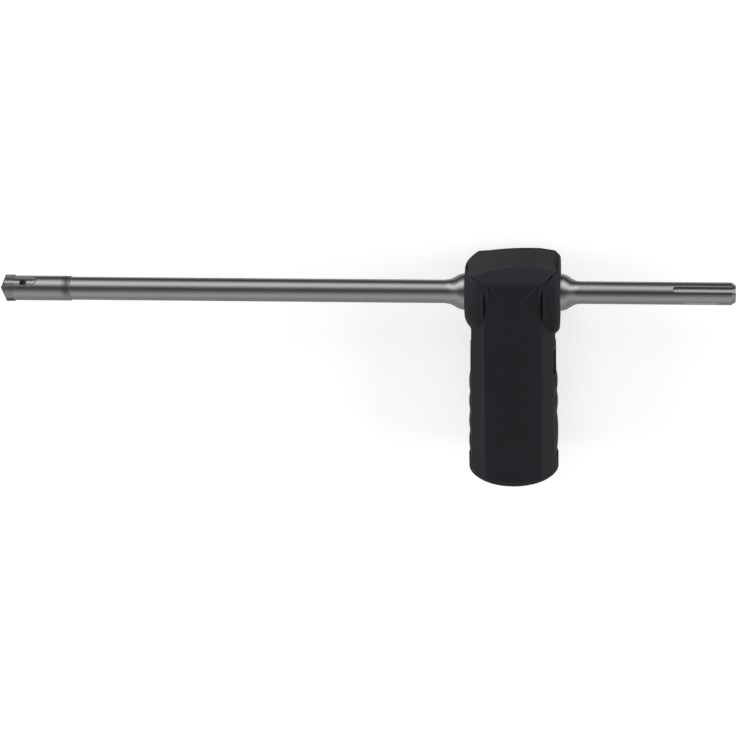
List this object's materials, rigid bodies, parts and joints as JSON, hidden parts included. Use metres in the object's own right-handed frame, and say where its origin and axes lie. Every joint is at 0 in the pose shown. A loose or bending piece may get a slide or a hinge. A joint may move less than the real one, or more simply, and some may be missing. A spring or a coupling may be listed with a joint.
{
  "type": "dust extraction drill bit",
  "caption": "Hollow masonry hammer drill bit with a slotted quick-change shank and a swivelling plastic suction head whose handle is the socket for a vacuum hose.",
  "frame": {"origin": "on the drill's axis, halfway along the plain part of the shank", "axes": "+X along the drill from the carbide tip to the end of the shank; the handle of the suction head points along -Y and +Z is the head's front"},
  "size_m": [0.3297, 0.1046, 0.041],
  "materials": {
    "carbide": "ground hard metal, satin",
    "head_steel": "turned, satin",
    "tube_steel": "drawn tube, satin",
    "shank_steel": "ground, satin",
    "spring_steel": "phosphated, dull",
    "bush_bronze": "sintered bearing bronze",
    "housing_plastic": "black moulded plastic, fine spark texture",
    "cover_plastic": "black moulded plastic, satin",
    "grip_rubber": "soft black grip rubber",
    "seal_rubber": "black seal rubber"
  },
  "bodies": {
    "drill": {"carbide_tip": "carbide", "drill_head": "head_steel", "suction_tube": "tube_steel", "drive_shank": "shank_steel"},
    "suction_head": {"housing_body": "housing_plastic", "saddle_cover": "cover_plastic", "tip_side_pad": "grip_rubber", "shank_side_pad": "grip_rubber", "socket_seal": "seal_rubber", "front_retaining_ring": "spring_steel", "rear_retaining_ring": "spring_steel", "front_lip_seal": "seal_rubber", "rear_lip_seal": "seal_rubber", "front_bush": "bush_bronze", "rear_bush": "bush_bronze", "front_thrust_washer": "spring_steel", "rear_thrust_washer": "spring_steel"}
  },
  "joints": [
    {"name": "head_swivel", "type": "hinge", "parent": "drill", "child": "suction_head", "pos_m": [-0.04995, 0, 0], "axis": [1, 0, 0], "continuous": true}
  ]
}
